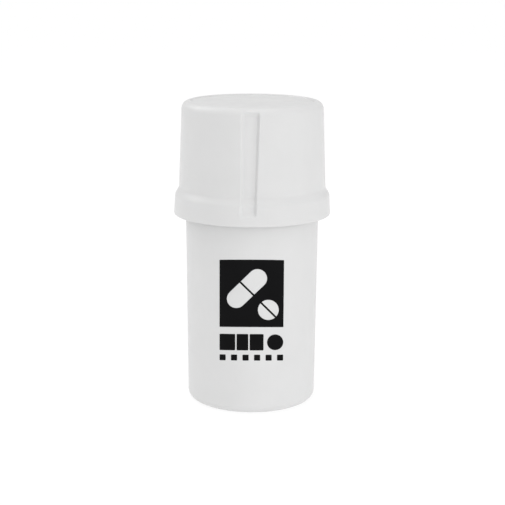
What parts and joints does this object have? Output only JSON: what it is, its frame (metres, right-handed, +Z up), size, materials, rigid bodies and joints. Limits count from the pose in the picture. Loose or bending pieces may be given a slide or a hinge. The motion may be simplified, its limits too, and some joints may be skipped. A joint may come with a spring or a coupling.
{
  "type": "pill crusher",
  "caption": "Cylindrical pill crusher: a straight storage vial under a toothed grinder cup, with a taller turning cap that has a wide collar and side grip notches.",
  "frame": {"origin": "centre of the vial's foot, on the surface it stands on", "axes": "+Z up along the common axis of vial and cap; -Y is the printed front of the vial; +X is to the right of someone facing the front"},
  "size_m": [0.0508, 0.0508, 0.0985],
  "materials": {
    "vial_plastic": "satin moulded white",
    "cap_plastic": "satin moulded white",
    "inner_plastic": "satin moulded white",
    "silicone": "soft translucent grey",
    "acetal": "smooth natural",
    "print_ink": "black printed ink"
  },
  "bodies": {
    "container": {"vial_body": "vial_plastic"},
    "crushing_cup": {"grinder_cup": "inner_plastic", "lower_grinder": "inner_plastic", "cup_seal_ring": "silicone", "friction_ring": "acetal"},
    "cap_seal": {"cap_seal_ring": "silicone"},
    "cap": {"cap_shell": "cap_plastic", "upper_grinder": "inner_plastic", "retaining_clip": "acetal"}
  },
  "joints": [
    {"name": "cup_lift", "type": "slide", "parent": "container", "child": "crushing_cup", "axis": [0, 0, 1], "range_m": [0, 0.06]},
    {"name": "cap_lift", "type": "slide", "parent": "crushing_cup", "child": "cap_seal", "axis": [0, 0, 1], "range_m": [0, 0.045]},
    {"name": "cap_spin", "type": "hinge", "parent": "cap_seal", "child": "cap", "pos_m": [0, 0, 0.08], "axis": [0, 0, 1], "continuous": true}
  ]
}
